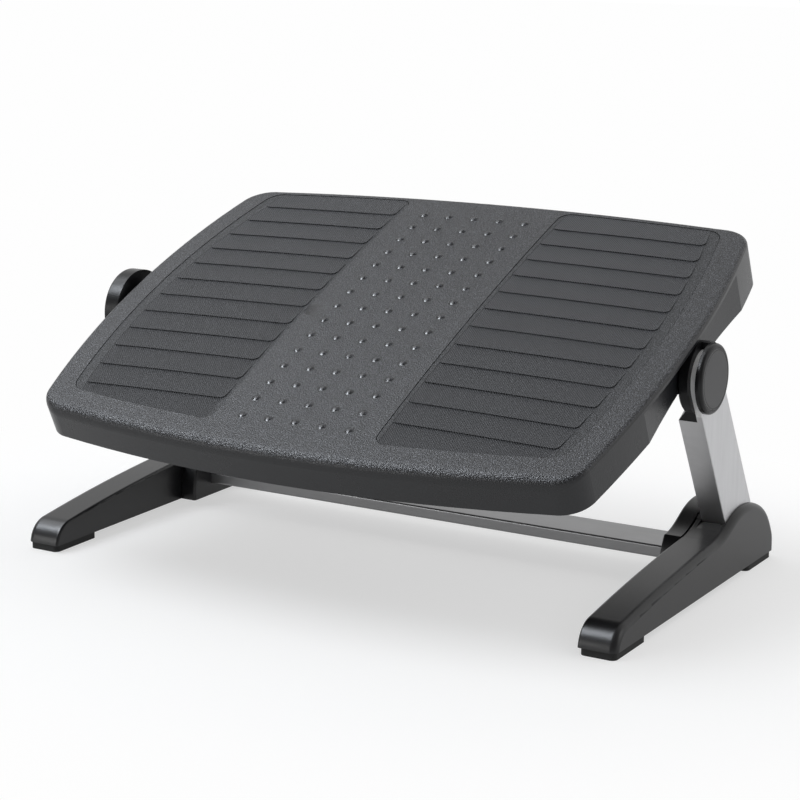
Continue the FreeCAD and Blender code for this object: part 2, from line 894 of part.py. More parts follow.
def lug_shroud():
    """Sector of the drum's rim carried out over the top and rear of the lug."""
    ring = rod(drum_radius, lug_inner_x - 1, arm_outer_x - shroud_gap)
    ring = ring.cut(rod(arm_head_radius + shroud_gap, lug_inner_x - 2, arm_outer_x + 1))
    reach = 2 * drum_radius
    middle = (shroud_from + shroud_to) / 2
    corners = [(0.0, 0.0)]
    for angle in (shroud_from, middle, shroud_to):
        turn = math.radians(angle)
        corners.append((reach * math.cos(turn), reach * math.sin(turn)))
    return ring.common(slab(corners, lug_inner_x - 1, arm_outer_x))


def arm_head():
    """Right arm head: drum about the pivot, flared shoulder, shroud and tail."""
    drum = rod(drum_radius, drum_inner_x, lug_inner_x)
    rim = edges_where(drum, lambda edge, p: len(edge.Vertexes) == 1 and p.x < drum_inner_x + 0.1)
    drum = drum.makeChamfer(drum_chamfer, rim)
    shoulder = arm_blade(drum_inner_x, lug_inner_x, 0.0, 0.0, -arm_cut)
    half = arm_head_radius
    wedge = Part.Face(Part.makePolygon([
        V(drum_inner_x + 1, -half, -flare_start),
        V(drum_inner_x, -half, -flare_start),
        V(arm_inner_x, -half, -arm_cut),
        V(drum_inner_x + 1, -half, -arm_cut),
        V(drum_inner_x + 1, -half, -flare_start),
    ])).extrude(V(0, 2 * half, 0))
    tail_inner = arm_inner_x + arm_wall + tail_gap
    tail = arm_blade(tail_inner, lug_inner_x - tail_gap, arm_wall + tail_gap,
                     -arm_cut + 1, -arm_cut - tail_length)
    head = fuse(drum, shoulder, wedge, tail, lug_shroud())
    head = head.cut(rod(bolt_radius + bolt_fit, drum_inner_x - 1, lug_inner_x + 1))
    for z in tail_screw_levels():
        head = head.cut(rod(screw_radius + screw_gap, tail_inner - 1, tail_inner + 8, 0, z))
    return head


def tail_screw():
    """Screw that holds the right head's tail in the arm."""
    screws = []
    for z in tail_screw_levels():
        shank = rod(screw_radius, arm_inner_x - 0.5, arm_inner_x + 9, 0, z)
        head = rod(screw_head_radius, arm_inner_x - screw_head_height, arm_inner_x, 0, z)
        drive = rod(1.4, arm_inner_x - screw_head_height - 1,
                    arm_inner_x - screw_head_height + 1.2, 0, z)
        screws.append(head.fuse(shank).removeSplitter().cut(drive))
    return Part.makeCompound(screws)


def arm_plug():
    """Block inside the right arm's lower end, clamped by the hub screws."""
    gap = arm_wall + plug_gap
    block = arm_blade(arm_inner_x + gap, lug_inner_x - plug_gap, gap,
                      -arm_length + plug_length, -arm_length + 0.5)
    for y, z in hub_screw_spots():
        block = block.cut(rod(hub_screw_radius + screw_gap, arm_inner_x, arm_outer_x, y, z))
    return block


def hub_screws():
    """Long screws from the right hub cover through the arm into the foot."""
    head_at = cover_inner_x + hub_screw_head_height
    tip = foot_outer_x - cheek_thickness + hub_screw_bite
    screws = []
    for y, z in hub_screw_spots():
        shank = rod(hub_screw_radius, head_at - 0.5, tip, y, z)
        head = rod(hub_screw_head_radius, cover_inner_x + 0.2, head_at, y, z)
        drive = hex_at(4.0, cover_inner_x - 1, cover_inner_x + 1.8, y, z)
        screws.append(head.fuse(shank).removeSplitter().cut(drive))
    return Part.makeCompound(screws)


def hub_screw_holes(radius, x0, x1):
    """Bores of the hub screws in their leaned place."""
    return [lean_place(rod(radius, x0, x1, y, z)) for y, z in hub_screw_spots()]


# Feet, drawn in place on the right

def hub_points(top):
    """Crest line from the beam's end over the hub's top to the rear."""
    rise = top - foot_beam_rear_height
    run = hub_top_y - foot_beam_rear_y
    fall = foot_rear - hub_top_y
    drop = top - foot_base
    return [
        V(0, foot_beam_rear_y, foot_beam_rear_height),
        V(0, foot_beam_rear_y + 0.35 * run, foot_beam_rear_height + 0.30 * rise),
        V(0, foot_beam_rear_y + 0.65 * run, foot_beam_rear_height + 0.76 * rise),
        V(0, hub_top_y, top),
        V(0, hub_top_y + 0.45 * fall, top - 0.09 * drop),
        V(0, hub_top_y + 0.80 * fall, top - 0.36 * drop),
        V(0, foot_rear - 0.04 * fall, foot_base + 0.34 * drop),
        V(0, foot_rear, foot_base),
    ]


def hub_curve(top):
    """Smooth crest of the hub."""
    curve = Part.BSplineCurve()
    points = hub_points(top)
    slope = V(0, 1, 0.09)
    curve.interpolate(Points=points, InitialTangent=slope, FinalTangent=V(0, 0, -1))
    return curve.toShape()


def foot_profile():
    """Side outline of the foot from its nose to its rear."""
    nose_low = V(0, foot_front, foot_base)
    nose_mid = V(0, foot_front + 4.4, foot_base + 0.62 * (foot_nose_height - foot_base))
    nose_top = V(0, foot_front + 16.5, foot_nose_height)
    middle_y = (nose_top.y + foot_beam_rear_y) / 2
    beam_mid = V(0, middle_y, (foot_nose_height + foot_beam_rear_height) / 2 + 1.6)
    beam_end = V(0, foot_beam_rear_y, foot_beam_rear_height)
    rear_low = V(0, foot_rear, foot_base)
    edges = [
        Part.Arc(nose_low, nose_mid, nose_top).toShape(),
        Part.Arc(nose_top, beam_mid, beam_end).toShape(),
        hub_curve(hub_height),
        Part.makeLine(rear_low, nose_low),
    ]
    return Part.Face(Part.Wire(edges))


def cover_profile():
    """Side outline of the hub cover, a little higher than the foot's crest."""
    start = V(0, foot_beam_rear_y, foot_beam_rear_height)
    shoulder = V(0, cover_front + 2.0, (foot_beam_rear_height + foot_base) / 2 + 3)
    low = V(0, cover_front, foot_base)
    edges = [
        Part.Arc(low, shoulder, start).toShape(),
        hub_curve(hub_height + cover_rise),
        Part.makeLine(V(0, foot_rear, foot_base), low),
    ]
    return Part.Face(Part.Wire(edges))


def extruded(face, x0, x1):
    """Carry a side outline between two X values."""
    moved = face.copy()
    moved.translate(V(x0, 0, 0))
    return moved.extrude(V(x1 - x0, 0, 0))


def arm_room(x0, x1, gap):
    """Leaned room for the arm's lower part, open at the top."""
    half = arm_end_width / 2 + gap
    low = -arm_length - gap
    room = slab([(-half, 0), (half, 0), (half, low), (-half, low)], x0, x1)
    return lean_place(room)


def foot():
    """Right foot: beam with a hollow underside and a hub with the arm's seat."""
    body = extruded(foot_profile(), foot_inner_x, foot_outer_x)
    outer = edges_where(body, lambda edge, p: abs(p.x - foot_outer_x) < 1e-6
                        and p.z > foot_base + 1)
    body = body.makeFillet(foot_outer_round, outer)
    inner = edges_where(body, lambda edge, p: abs(p.x - foot_inner_x) < 1e-6
                        and p.z > foot_base + 1 and p.y < foot_beam_rear_y)
    body = body.makeFillet(foot_inner_round, inner)
    body = body.cut(arm_room(foot_inner_x - 1, arm_outer_x + arm_seat_gap, arm_seat_gap)
                    .common(box(0, far, -far, far, arm_floor, far)))
    scoop = slab([(saddle_start, foot_beam_rear_height - 0.3), (hub_top_y, saddle_height + 4),
                  (hub_top_y, far), (saddle_start, far)],
                 foot_inner_x + 4.5, arm_outer_x - 1)
    in_front = slab([(-40, 0), (0, 0), (0, -arm_length), (-40, -arm_length)],
                    foot_inner_x, foot_outer_x)
    body = body.cut(scoop.common(lean_place(in_front)))
    hollow = extruded(foot_profile(), foot_inner_x + foot_wall, foot_outer_x - foot_wall)
    hollow.translate(V(0, 0, -foot_wall))
    hollow = hollow.common(box(0, far, foot_pocket_front, foot_pocket_rear, 0, far))
    span = foot_pocket_rear - foot_pocket_front
    for number in range(foot_rib_count):
        y = foot_pocket_front + span * (number + 1) / (foot_rib_count + 1)
        hollow = hollow.cut(box(0, far, y - rib_thickness / 2, y + rib_thickness / 2, -1, far))
    body = body.cut(hollow)
    for bore in hub_screw_holes(hub_screw_radius + screw_gap, foot_inner_x - 1,
                                arm_outer_x + hub_screw_bite + 0.5):
        body = body.cut(bore)
    for x, y in rubber_stud_spots():
        body = body.cut(post(rubber_stud_radius + rubber_stud_gap, 0,
                             foot_base + rubber_stud_height + 0.3, x, y))
    return body


def hub_cover():
    """Right hub cover: inner cheek over the arm's end, with the bar's socket."""
    body = extruded(cover_profile(), cover_inner_x, foot_inner_x - cover_gap)
    inner = edges_where(body, lambda edge, p: abs(p.x - cover_inner_x) < 1e-6
                        and p.z > foot_base + 1)
    body = body.makeFillet(foot_inner_round, inner)
    plate = arm_room(foot_inner_x - 2, arm_inner_x - cover_gap, -cover_gap)
    plate = plate.common(extruded(foot_profile(), foot_inner_x - 2, arm_inner_x))
    plate = plate.common(box(0, far, -far, far, arm_floor + cover_gap, far))
    body = body.fuse(plate).removeSplitter()
    socket = box(cover_inner_x - 1, cover_inner_x + bar_insertion + bar_gap,
                 bar_y - bar_depth / 2 - bar_gap, bar_y + bar_depth / 2 + bar_gap,
                 bar_base - bar_gap, bar_base + bar_height + bar_gap)
    body = body.cut(socket)
    for bore in hub_screw_holes(hub_screw_radius + screw_gap, cover_inner_x - 1, arm_outer_x):
        body = body.cut(bore)
    for bore in hub_screw_holes(hub_screw_head_radius + screw_gap, cover_inner_x - 1,
                                cover_inner_x + hub_screw_head_height):
        body = body.cut(bore)
    for x, y in bar_screw_spots():
        body = body.cut(post(bar_screw_radius + screw_gap, 0, bar_base + 1, x, y))
        body = body.cut(post(bar_screw_head_radius + screw_gap, 0, bar_screw_seat(), x, y))
    return body


def bar_screw_seat():
    """Height at which the bar screws' heads stop."""
    return foot_base + bar_screw_head_height + 0.6


def bar_screw_spots():
    """Places of the right screws from below into the crossbar."""
    x = cover_inner_x + bar_insertion / 2
    half = bar_screw_spread / 2
    return [(x, bar_y - half), (x, bar_y + half)]


def bar_screws():
    """Screws that hold both ends of the crossbar."""
    screws = []
    top = bar_base + bar_height - bar_wall - 1
    for x, y in bar_screw_spots():
        seat = bar_screw_seat()
        shank = post(bar_screw_radius, seat - 0.5, top, x, y)
        head = post(bar_screw_head_radius, seat - bar_screw_head_height, seat, x, y)
        drive = post(1.5, seat - bar_screw_head_height - 1, seat - bar_screw_head_height + 1, x, y)
        screws.append(head.fuse(shank).removeSplitter().cut(drive))
    right = Part.makeCompound(screws)
    return Part.makeCompound([mirrored(right), right])


def bar_end_x():
    """Half length of the crossbar."""
    return cover_inner_x + bar_insertion


def crossbar():
    """Flat rectangular tube between the hub covers."""
    half = bar_end_x()
    y0 = bar_y - bar_depth / 2
    y1 = bar_y + bar_depth / 2
    tube = box(-half, half, y0, y1, bar_base, bar_base + bar_height)
    tube = tube.makeFillet(bar_corner, edges_where(tube, lambda edge, p: runs_along_x(edge)))
    hole = box(-half - 1, half + 1, y0 + bar_wall, y1 - bar_wall,
               bar_base + bar_wall, bar_base + bar_height - bar_wall)
    tube = tube.cut(hole)
    for x, y in bar_screw_spots():
        for flip in (1, -1):
            tube = tube.cut(post(bar_screw_radius + screw_gap, 0, bar_base + 3, flip * x, y))
    return tube


def bar_plugs():
    """Threaded blocks inside the two ends of the crossbar."""
    gap = bar_wall + bar_gap
    outer = bar_end_x() - 0.5
    block = box(outer - bar_plug_length, outer, bar_y - bar_depth / 2 + gap,
                bar_y + bar_depth / 2 - gap, bar_base + bar_wall + 0.1,
                bar_base + bar_height - bar_wall - 0.1)
    for x, y in bar_screw_spots():
        block = block.cut(post(bar_screw_radius + screw_gap, 0, bar_base + far, x, y))
    return Part.makeCompound([mirrored(block), block])


def rubber_spans():
    """Front and rear spans of the rubber pads along Y."""
    front = foot_front + rubber_inset
    return [(front, front + rubber_front_length),
            (rubber_rear_start, rubber_rear_start + rubber_rear_length)]


def rubber_stud_spots():
    """Places of the studs on the right foot's rubber pads."""
    x = (foot_inner_x + foot_outer_x) / 2
    spots = []
    for start, end in rubber_spans():
        spots.append((x, start + 0.3 * (end - start)))
        spots.append((x, start + 0.7 * (end - start)))
    return spots


def rubber_pad(which):
    """Right front or rear rubber pad with two studs up into the foot."""
    start, end = rubber_spans()[which]
    x0 = foot_inner_x + rubber_inset
    x1 = foot_outer_x - rubber_inset
    pad = box(x0, x1, start, end, 0, rubber_height)
    pad = upright_fillet(pad, rubber_round, lambda p: True)
    studs = []
    for x, y in rubber_stud_spots()[2 * which:2 * which + 2]:
        studs.append(post(rubber_stud_radius, rubber_height - 1,
                          foot_base + rubber_stud_height, x, y))
    return fuse(pad, *studs)


def pieces():
    """All named pieces at rest."""
    right = {
        "foot": foot(),
        "hub_cover": hub_cover(),
        "front_rubber_pad": rubber_pad(0),
        "rear_rubber_pad": rubber_pad(1),
        "arm": lean_place(arm()),
        "arm_head": lean_place(arm_head()),
        "arm_plug": lean_place(arm_plug()),
        "tail_screw": lean_place(tail_screw()),
        "hub_screws": lean_place(hub_screws()),
        "grip_pad": deck_place(grip_pad()),
        "pivot_bracket": deck_place(pivot_bracket()),
        "pivot_nut": deck_place(pivot_nut()),
        "friction_washer": deck_place(friction_washer()),
    }
    named = {}
    for name, shape in right.items():
        named["right_" + name] = shape
        named["left_" + name] = mirrored(shape)
    named["crossbar"] = crossbar()
    named["crossbar_plugs"] = bar_plugs()
    named["crossbar_screws"] = bar_screws()
    named["deck_shell"] = deck_place(deck_shell())
    named["bracket_screws"] = deck_place(bracket_screws())
    named["right_pivot_bolt"] = pivot_place(pivot_bolt(0.0))
    named["right_steel_washer"] = pivot_place(steel_washer())
    named["right_pivot_cap"] = pivot_place(pivot_cap())
    named["right_cap_disc"] = pivot_place(cap_disc())
    named["left_pivot_bolt"] = mirrored(pivot_place(pivot_bolt(knob_collar_thickness)))
    named["left_steel_washer"] = mirrored(pivot_place(outward(steel_washer())))
    named["left_knob_collar"] = mirrored(pivot_place(knob_collar()))
    named["left_hand_knob"] = mirrored(pivot_place(outward(hand_knob())))
    named["left_knob_disc"] = mirrored(pivot_place(outward(knob_disc())))
    return named


def main():
    """Write one file for each piece."""
    os.makedirs("parts", exist_ok=True)
    for name, shape in pieces().items():
        shape.translate(V(shift_x, shift_y, 0))
        shape.exportStep("parts/" + name + ".step")


main()
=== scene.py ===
"""Tilting under desk footrest: finishes, light and camera over the fixed frame."""

import json
import math

import bpy
from mathutils import Matrix, Vector

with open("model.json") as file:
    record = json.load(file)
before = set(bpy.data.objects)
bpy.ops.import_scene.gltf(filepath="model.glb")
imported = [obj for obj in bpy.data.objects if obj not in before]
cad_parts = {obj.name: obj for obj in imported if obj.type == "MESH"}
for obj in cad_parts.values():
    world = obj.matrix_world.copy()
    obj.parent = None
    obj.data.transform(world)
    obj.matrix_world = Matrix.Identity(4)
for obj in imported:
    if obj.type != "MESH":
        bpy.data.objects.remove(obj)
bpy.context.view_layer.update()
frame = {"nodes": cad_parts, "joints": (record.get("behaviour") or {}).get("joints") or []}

bl_info = {
    "name": "Under desk footrest",
    "version": (1, 0, 0),
    "blender": (4, 5, 0),
    "location": "3D View > Sidebar > Footrest",
    "description": "Dresses the pieces of a tilting footrest and sets its studio",
    "category": "Object",
}

NODES = frame["nodes"]
SIDES = ("left", "right")
PIVOT = Vector(next(j["pos_m"] for j in frame["joints"] if j["name"] == "deck_tilt"))
REST_TILT = math.radians(24.0)

# The deck's plan in its own plane, in millimetres from its middle
PIVOT_ALONG = 37.4
DECK_WIDEST_ALONG = 26.0
DECK_HALF_WIDTH = 227.0
DECK_SIDE_RADIUS = 720.0

# Low bumps between the grips, and the painted shade ring round each (BUMP_SHADE), in millimetres
BUMP_COLUMN = 21.3
BUMP_OUTER_COLUMN = 2.0
BUMP_ROW = 18.85
BUMP_ROWS = 15
BUMP_LAST = 155.5
BUMP_EDGE = (3.5, 3.0)
BUMP_SHADE = (4.5, 3.2)

# Knurled field of each grip, in millimetres
KNURL_PITCH = 1.9
KNURL_SIDE_MARGIN = 28.5
KNURL_SIDE_EDGE = (0.5, 1.5)
KNURL_INNER_EDGE = (67.6, 68.6)

# Which way the deck's surface faces, from 0 at its sides to 1 on its plate
PLATE_FACING = (0.35, 0.8)
ROLL_FACING = (0.985, 0.93)

# Pebble sizes, the reach of the painted highlight on the arms' lug rims, and the discs' turned line,
# in metres
DECK_PEBBLE = 0.0009
PLASTIC_PEBBLE = 0.0007
LUG_REACH = (0.027, 0.026)
RIM_FACING = (0.6, 0.4)
# Near-white of the painted highlight on the arms' lug rims
RIM_HIGHLIGHT_WHITE = (0.97, 0.97, 0.97)
DRAWN_DEPTH = 0.00002
TURNED_LINE = (0.0007, 0.0003)

# Floor and surround: how white they look and how much they light the footrest
FLOOR_SIZE = 14.0
FLOOR_ALBEDO = 0.5
FLOOR_LIFT = 0.2
FLOOR_SHINE = 0.36
FLOOR_SEEN_LIFT = 0.55
FLOOR_FADE = (0.31, 0.55)
FLOOR_POOL_SHIFT = (-0.02, 0.05, 0.0)
FLOOR_POOL_SCALE = (1.0, 1.25, 1.0)
FLOOR_WHITE = 0.99
SURROUND_FRONT = 0.25
SURROUND_BACK = 0.8
SURROUND_TURN = (-0.5, 0.7)
PLAIN_WHITE = (1.0, 1.0, 1.0)


# Node helpers

def fresh_material(name):
    """A new material with its node tree, Principled shader and output."""
    material = bpy.data.materials.new(name)
    material.use_nodes = True
    tree = material.node_tree
    return material, tree, tree.nodes["Principled BSDF"]


def put(tree, kind, **values):
    """Add a node, set its plain properties, and its inputs by name or number."""
    node = tree.nodes.new(kind)
    for key, value in values.items():
        if key.startswith("in_"):
            socket = key[3:]
            node.inputs[int(socket) if socket.isdigit() else socket].default_value = value
        else:
            setattr(node, key, value)
    return node


def math_step(tree, operation, first, second=None, third=None, clamp=False):
    """A Math node fed by sockets or plain numbers; gives its output socket."""
    node = tree.nodes.new("ShaderNodeMath")
    node.operation = operation
    node.use_clamp = clamp
    for slot, value in enumerate((first, second, third)):
        if value is None:
            continue
        if isinstance(value, bpy.types.NodeSocket):
            tree.links.new(value, node.inputs[slot])
        else:
            node.inputs[slot].default_value = value
    return node.outputs[0]


def ramp_between(tree, value, low, high, out_low=0.0, out_high=1.0):
    """Smooth step of a value between two limits."""
    node = put(tree, "ShaderNodeMapRange", interpolation_type="SMOOTHSTEP")
    tree.links.new(value, node.inputs["Value"])
    node.inputs["From Min"].default_value = low
    node.inputs["From Max"].default_value = high
    node.inputs["To Min"].default_value = out_low
    node.inputs["To Max"].default_value = out_high
    return node.outputs["Result"]


def colour_mix(tree, factor, first, second):
    """Mix two colours, each a socket or a plain colour."""
    node = tree.nodes.new("ShaderNodeMix")
    node.data_type = "RGBA"
    for slot, value in ((0, factor), (6, first), (7, second)):
        if isinstance(value, bpy.types.NodeSocket):
            tree.links.new(value, node.inputs[slot])
        elif slot == 0:
            node.inputs[slot].default_value = value
        else:
            node.inputs[slot].default_value = (*value, 1.0)
    return node.outputs[2]


def new_group(name, inputs, outputs):
    """A shader node group with named sockets; gives the tree and its ends."""
    group = bpy.data.node_groups.new(name, "ShaderNodeTree")
    for label, kind, value in inputs:
        socket = group.interface.new_socket(label, in_out="INPUT", socket_type=kind)
        if value is not None:
            socket.default_value = value
    for label, kind in outputs:
        group.interface.new_socket(label, in_out="OUTPUT", socket_type=kind)
    start = group.nodes.new("NodeGroupInput")
    end = group.nodes.new("NodeGroupOutput")
    return group, start, end


def place_group(tree, group, vector, **values):
    """Put a group on a position and set its inputs by name, with spaces as underscores."""
    node = tree.nodes.new("ShaderNodeGroup")
    node.node_tree = group
    tree.links.new(vector, node.inputs["Vector"])
    for key, value in values.items():
        node.inputs[key.replace("_", " ")].default_value = value
    return node


def feed(tree, shader, **sockets):
    """Link sockets to a shader's inputs by name, with spaces as underscores."""
    for key, socket in sockets.items():
        tree.links.new(socket, shader.inputs[key.replace("_", " ")])


def toned(colour, factor):
    """A colour made darker or lighter."""
    return [min(1.0, c * factor) for c in colour]


def wearing(node_name, material):
    """Give a CAD node one material."""
    materials = NODES[node_name].data.materials
    materials.clear()
    materials.append(material)


# Shared effects

def grain_group():
    """Moulded leather grain: height and a light and dark fleck."""
    tree, start, end = new_group(
        "moulded_grain",
        [("Vector", "NodeSocketVector", None), ("Pebble Size", "NodeSocketFloat", DECK_PEBBLE)],
        [("Height", "NodeSocketFloat"), ("Fleck", "NodeSocketFloat")],
    )
    scale = math_step(tree, "DIVIDE", 1.0, start.outputs["Pebble Size"])
    cells = put(tree, "ShaderNodeTexVoronoi", feature="F1")
    tree.links.new(start.outputs["Vector"], cells.inputs["Vector"])
    tree.links.new(scale, cells.inputs["Scale"])
    fine = put(tree, "ShaderNodeTexNoise", in_Detail=2.0, in_Roughness=0.7)
    tree.links.new(start.outputs["Vector"], fine.inputs["Vector"])
    tree.links.new(math_step(tree, "MULTIPLY", scale, 0.7), fine.inputs["Scale"])
    dome = math_step(tree, "SUBTRACT", 1.0, cells.outputs["Distance"])
    height = math_step(tree, "MULTIPLY_ADD", fine.outputs[0], 1.4, dome)
    fleck = ramp_between(tree, height, 1.15, 1.6)
    tree.links.new(height, end.inputs["Height"])
    tree.links.new(fleck, end.inputs["Fleck"])
    return tree


def deck_frame_group():
    """Coordinates along the tilted deck in millimetres, from the pivot."""
    group, start, end = new_group(
        "deck_frame",
        [("Vector", "NodeSocketVector", None)],
        [("Across", "NodeSocketFloat"), ("Along", "NodeSocketFloat")],
    )
    turn = Matrix.Rotation(-REST_TILT, 3, "X")
    place = put(group, "ShaderNodeMapping", vector_type="POINT")
    place.inputs["Location"].default_value = -(turn @ PIVOT)
    place.inputs["Rotation"].default_value = (-REST_TILT, 0.0, 0.0)
    group.links.new(start.outputs[0], place.inputs["Vector"])
    split = put(group, "ShaderNodeSeparateXYZ")
    group.links.new(place.outputs[0], split.inputs[0])
    for source, target in zip(split.outputs, end.inputs):
        group.links.new(math_step(group, "MULTIPLY", source, 1000.0), target)
    return group


def smudge_group():
    """Broad uneven gloss, as handling leaves on plastic and metal."""
    group, start, end = new_group(
        "uneven_gloss",
        [("Vector", "NodeSocketVector", None), ("Base", "NodeSocketFloat", 0.4),
         ("Spread", "NodeSocketFloat", 0.1)],
        [("Roughness", "NodeSocketFloat")],
    )
    noise = put(group, "ShaderNodeTexNoise", in_Scale=22.0, in_Detail=4.0, in_Roughness=0.65)
    group.links.new(start.outputs["Vector"], noise.inputs["Vector"])
    centred = math_step(group, "SUBTRACT", noise.outputs[0], 0.5)
    value = math_step(group, "MULTIPLY_ADD", centred, start.outputs["Spread"], start.outputs["Base"])
    group.links.new(value, end.inputs["Roughness"])
    return group


def build_groups():
    """All shared groups, built once."""
    return {"grain": grain_group(), "deck": deck_frame_group(), "gloss": smudge_group()}


GROUPS = {}


def object_vector(tree):
    """Object coordinates."""
    return put(tree, "ShaderNodeTexCoord").outputs["Object"]


def object_normal(tree):
    """The surface's own direction."""
    return put(tree, "ShaderNodeTexCoord").outputs["Normal"]


def uneven_gloss(tree, vector, base, spread):
    """Roughness that wanders about a base."""
    return place_group(tree, GROUPS["gloss"], vector, Base=base, Spread=spread).outputs[0]


def add_bump(tree, shader, height, distance, strength=1.0):
    """Feed a height to the shader's normal."""
    bump = put(tree, "ShaderNodeBump", in_Strength=strength, in_Distance=distance)
    tree.links.new(height, bump.inputs["Height"])
    tree.links.new(bump.outputs[0], shader.inputs["Normal"])


def from_axle(tree, vector):
    """Distance in metres from the line that deck and knobs turn about."""
    flat = put(tree, "ShaderNodeVectorMath", operation="MULTIPLY")
    tree.links.new(vector, flat.inputs[0])
    flat.inputs[1].default_value = (0.0, 1.0, 1.0)
    around = put(tree, "ShaderNodeVectorMath", operation="DISTANCE")
    tree.links.new(flat.outputs[0], around.inputs[0])
    around.inputs[1].default_value = (0.0, PIVOT.y, PIVOT.z)
    return around.outputs["Value"]


def plate_facing(tree):
    """How squarely the surface faces out of the deck's plate."""
    facing = put(tree, "ShaderNodeVectorMath", operation="DOT_PRODUCT")
    tree.links.new(object_normal(tree), facing.inputs[0])
    facing.inputs[1].default_value = (0.0, -math.sin(REST_TILT), math.cos(REST_TILT))
    return facing.outputs["Value"]


def bump_distance(tree, deck):
    """Distance in millimetres to the middle of the nearest low bump."""
    columns = math_step(tree, "DIVIDE", deck.outputs["Across"], BUMP_COLUMN)
    rows = math_step(tree, "SUBTRACT", BUMP_LAST - PIVOT_ALONG, deck.outputs["Along"])
    rows = math_step(tree, "DIVIDE", rows, BUMP_ROW)
    away = []
    for value, low, high, pitch in (
            (columns, -BUMP_OUTER_COLUMN, BUMP_OUTER_COLUMN, BUMP_COLUMN),
            (rows, 0.0, BUMP_ROWS - 1.0, BUMP_ROW)):
        whole = math_step(tree, "ROUND", value)
        whole = math_step(tree, "MINIMUM", math_step(tree, "MAXIMUM", whole, low), high)
        step = math_step(tree, "SUBTRACT", value, whole)
        away.append(math_step(tree, "MULTIPLY", step, pitch))
    square = math_step(tree, "MULTIPLY", away[0], away[0])
    square = math_step(tree, "MULTIPLY_ADD", away[1], away[1], square)
    return math_step(tree, "SQRT", square)


def knurled_field(tree, across, along):
    """One inside a grip's knurled strips, nought on its margins."""
    offset = math_step(tree, "SUBTRACT", along, DECK_WIDEST_ALONG - PIVOT_ALONG)
    square = math_step(tree, "MULTIPLY", offset, offset)
    radius = DECK_SIDE_RADIUS - KNURL_SIDE_MARGIN
    reach = math_step(tree, "SQRT", math_step(tree, "SUBTRACT", radius ** 2, square))
    side = math_step(tree, "ADD", reach, DECK_HALF_WIDTH - DECK_SIDE_RADIUS)
    outer = ramp_between(tree, math_step(tree, "SUBTRACT", side, across), *KNURL_SIDE_EDGE)
    inner = ramp_between(tree, across, *KNURL_INNER_EDGE)
    return math_step(tree, "MULTIPLY", outer, inner)


# Finishes

def grained_plastic(name, colour, roughness, pebble, bump, spread=0.08, fleck=0.25,
                    specular=0.5):
    """Moulded plastic with a pebble grain."""
    material, tree, shader = fresh_material(name)
    vector = object_vector(tree)
    grain = place_group(tree, GROUPS["grain"], vector, Pebble_Size=pebble)
    base = colour_mix(tree, grain.outputs["Fleck"], toned(colour, 1 - fleck),
                      toned(colour, 1 + fleck))
    feed(tree, shader, Base_Color=base, Roughness=uneven_gloss(tree, vector, roughness, spread))
    shader.inputs["Specular IOR Level"].default_value = specular
    add_bump(tree, shader, grain.outputs["Height"], bump)
    return material


def glossy_black(name, roughness, specular=0.5):
    """Black moulded plastic with a very fine grain."""
    return grained_plastic(name, settings().black_colour, roughness, PLASTIC_PEBBLE, 0.00003,
                           spread=0.06, fleck=0.12, specular=specular)


def deck_plastic(name, colour, roughness, bump):
    """Charcoal plastic: strong grain on the plate, smooth sides darkened as painted shade, painted
    shade rings round the bumps, glossier bumps and rolled edge.
    """
    material, tree, shader = fresh_material(name)
    vector = object_vector(tree)
    deck = place_group(tree, GROUPS["deck"], vector)
    grain = place_group(tree, GROUPS["grain"], vector, Pebble_Size=DECK_PEBBLE)
    facing = plate_facing(tree)
    top = ramp_between(tree, facing, *PLATE_FACING)
    roll = ramp_between(tree, facing, *ROLL_FACING)
    near = bump_distance(tree, deck)
    dot = ramp_between(tree, near, *BUMP_EDGE)
    # Painted shade: a dark ring round the foot of each bump, mixed towards 0.15 of the deck colour
    ring = math_step(tree, "SUBTRACT", ramp_between(tree, near, *BUMP_SHADE), dot, clamp=True)
    fleck = math_step(tree, "MULTIPLY", grain.outputs["Fleck"], top)
    base = colour_mix(tree, fleck, toned(colour, 0.35), toned(colour, 2.5))
    # Painted shade: the deck's sides, facing away from its plate, are coloured at 0.3 of the deck
    # colour
    base = colour_mix(tree, top, toned(colour, 0.3), base)
    base = colour_mix(tree, math_step(tree, "MULTIPLY", ring, 0.9), base, toned(colour, 0.15))
    rough = math_step(tree, "MULTIPLY_ADD", dot, -0.12, uneven_gloss(tree, vector, roughness, 0.06))
    rough = math_step(tree, "MULTIPLY_ADD", roll, -0.14, rough)
    feed(tree, shader, Base_Color=base, Roughness=rough)
    depth = math_step(tree, "MULTIPLY_ADD", top, 0.85, 0.15)
    calm = math_step(tree, "MULTIPLY_ADD", dot, -0.8, 1.0)
    depth = math_step(tree, "MULTIPLY", depth, calm)
    add_bump(tree, shader, math_step(tree, "MULTIPLY", grain.outputs["Height"], depth), bump)
    return material


def disc_plastic(name, colour, roughness, line_radius):
    """Satin disc face with a thin turned line near its edge."""
    material, tree, shader = fresh_material(name)
    vector = object_vector(tree)
    away = math_step(tree, "SUBTRACT", from_axle(tree, vector), line_radius)
    line = ramp_between(tree, math_step(tree, "ABSOLUTE", away), *TURNED_LINE)
    base = colour_mix(tree, line, colour, toned(colour, 0.12))
    feed(tree, shader, Base_Color=base, Roughness=uneven_gloss(tree, vector, roughness, 0.12))
    add_bump(tree, shader, math_step(tree, "SUBTRACT", 1.0, line), 0.0003)
    return material


